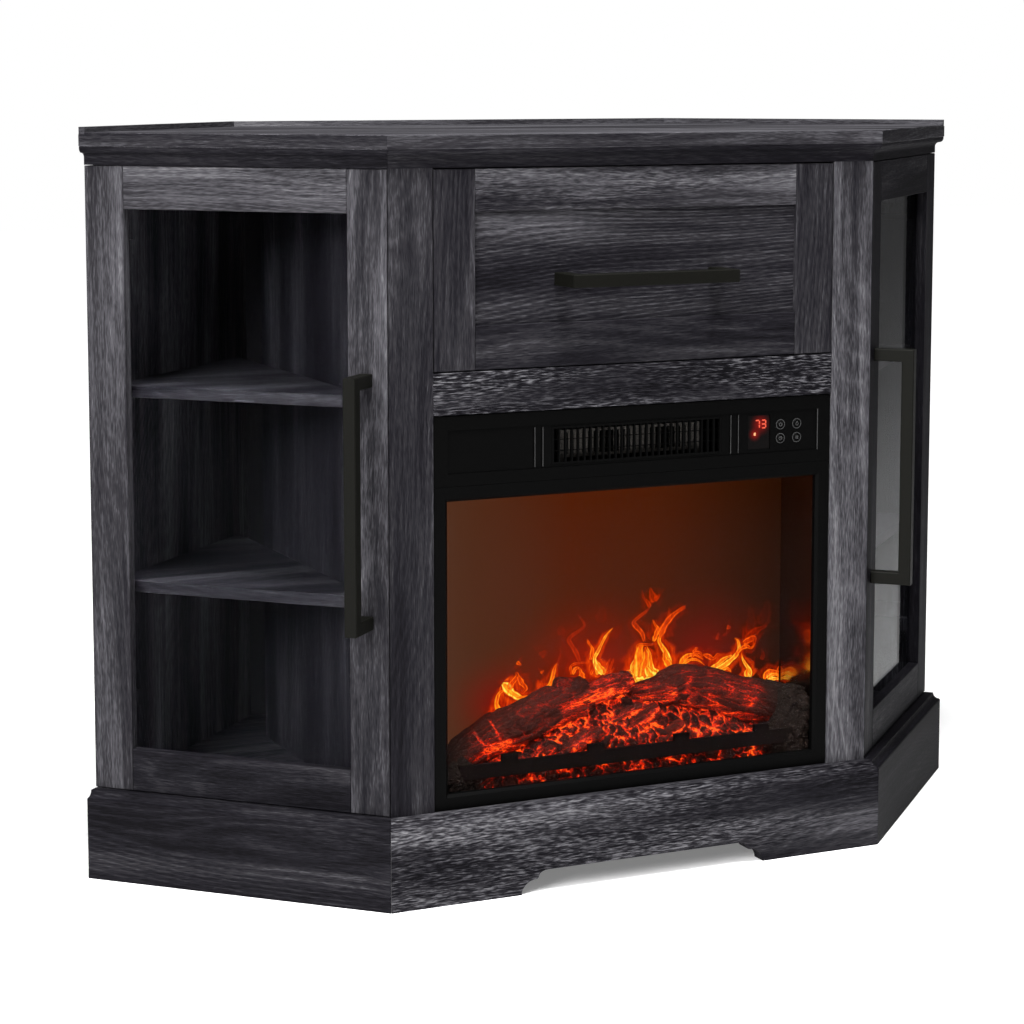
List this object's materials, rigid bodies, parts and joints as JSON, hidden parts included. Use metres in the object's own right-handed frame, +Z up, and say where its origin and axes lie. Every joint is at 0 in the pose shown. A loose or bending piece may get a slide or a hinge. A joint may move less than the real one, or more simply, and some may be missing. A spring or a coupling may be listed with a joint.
{
  "type": "fireplace tv stand",
  "caption": "Corner media cabinet with a built-in electric fire, a drawer above it and glazed angled cupboards with shelves on both sides.",
  "frame": {"origin": "middle of the bounding box's footprint, on the floor", "axes": "+Z up, +X to the right as seen from the front, the front faces -Y"},
  "size_m": [1.1104, 0.5388, 0.821],
  "materials": {
    "laminate": "satin charcoal wood-grain laminate",
    "laminate_dark": "satin charcoal wood-grain laminate, inner faces",
    "back_board": "matte dark fibreboard",
    "handle_metal": "matte black powder coat",
    "fire_black": "satin black enamel",
    "sheet_steel": "plain sheet steel",
    "heating_wire": "bare resistance wire and frame",
    "mirror_steel": "bright reflecting strip",
    "screen": "translucent flame screen",
    "log_resin": "moulded logs and embers",
    "button_plastic": "black plastic",
    "display_lens": "dark red tinted lens",
    "glass": "clear glass"
  },
  "bodies": {
    "cabinet": {"back_panel": "back_board", "bottom_panel": "laminate_dark", "control_panel": "fire_black", "crown_front": "laminate", "crown_left": "laminate", "crown_right": "laminate", "display_lens": "display_lens", "drawer_deck": "laminate_dark", "drawer_runner_left": "laminate_dark", "drawer_runner_right": "laminate_dark", "fire_glass": "glass", "fire_housing": "sheet_steel", "flame_screen": "screen", "heater_case": "sheet_steel", "heater_element": "heating_wire", "log_bed": "log_resin", "mid_rail": "laminate", "outlet_grille": "fire_black", "partition_left": "laminate_dark", "partition_right": "laminate_dark", "plinth_front": "laminate", "plinth_left": "laminate", "plinth_right": "laminate", "post_left": "laminate", "post_right": "laminate", "shelf_left_lower": "laminate", "shelf_left_upper": "laminate", "shelf_right_lower": "laminate", "shelf_right_upper": "laminate", "side_panel_left": "laminate_dark", "side_panel_right": "laminate_dark", "top_panel": "laminate", "top_rear_lip": "laminate", "window_frame": "fire_black"},
    "left_door": {"door_left_bottom_rail": "laminate", "door_left_glass": "glass", "door_left_handle": "handle_metal", "door_left_inner_stile": "laminate", "door_left_outer_stile": "laminate", "door_left_top_rail": "laminate"},
    "right_door": {"door_right_bottom_rail": "laminate", "door_right_glass": "glass", "door_right_handle": "handle_metal", "door_right_inner_stile": "laminate", "door_right_outer_stile": "laminate", "door_right_top_rail": "laminate"},
    "drawer": {"drawer_bottom": "back_board", "drawer_box": "laminate_dark", "drawer_front_bottom_rail": "laminate", "drawer_front_left_stile": "laminate", "drawer_front_panel": "laminate", "drawer_front_right_stile": "laminate", "drawer_front_top_rail": "laminate", "drawer_handle": "handle_metal"},
    "blower": {"blower_drum": "sheet_steel"},
    "flame_rod": {"flame_spindle": "mirror_steel"},
    "upper_left_key": {"button_upper_left": "button_plastic"},
    "upper_right_key": {"button_upper_right": "button_plastic"},
    "lower_left_key": {"button_lower_left": "button_plastic"},
    "lower_right_key": {"button_lower_right": "button_plastic"}
  },
  "joints": [
    {"name": "left_door_hinge", "type": "hinge", "parent": "cabinet", "child": "left_door", "pos_m": [-0.52867, 0.03323, 0.4388], "axis": [0, 0, -1], "range_deg": [0, 95]},
    {"name": "right_door_hinge", "type": "hinge", "parent": "cabinet", "child": "right_door", "pos_m": [0.52867, 0.03323, 0.4388], "axis": [0, 0, 1], "range_deg": [0, 95]},
    {"name": "drawer_slide", "type": "slide", "parent": "cabinet", "child": "drawer", "axis": [0, -1, 0], "range_m": [0, 0.26]},
    {"name": "blower_spin", "type": "hinge", "parent": "cabinet", "child": "blower", "pos_m": [0, -0.1404, 0.48085], "axis": [1, 0, 0], "continuous": true},
    {"name": "flame_spin", "type": "hinge", "parent": "cabinet", "child": "flame_rod", "pos_m": [0, -0.1164, 0.137], "axis": [1, 0, 0], "continuous": true},
    {"name": "upper_left_press", "type": "slide", "parent": "cabinet", "child": "upper_left_key", "axis": [0, 1, 0], "range_m": [0, 0.001], "stiffness_N_per_m": 300, "springref_m": -0.001},
    {"name": "upper_right_press", "type": "slide", "parent": "cabinet", "child": "upper_right_key", "axis": [0, 1, 0], "range_m": [0, 0.001], "stiffness_N_per_m": 300, "springref_m": -0.001},
    {"name": "lower_left_press", "type": "slide", "parent": "cabinet", "child": "lower_left_key", "axis": [0, 1, 0], "range_m": [0, 0.001], "stiffness_N_per_m": 300, "springref_m": -0.001},
    {"name": "lower_right_press", "type": "slide", "parent": "cabinet", "child": "lower_right_key", "axis": [0, 1, 0], "range_m": [0, 0.001], "stiffness_N_per_m": 300, "springref_m": -0.001}
  ]
}
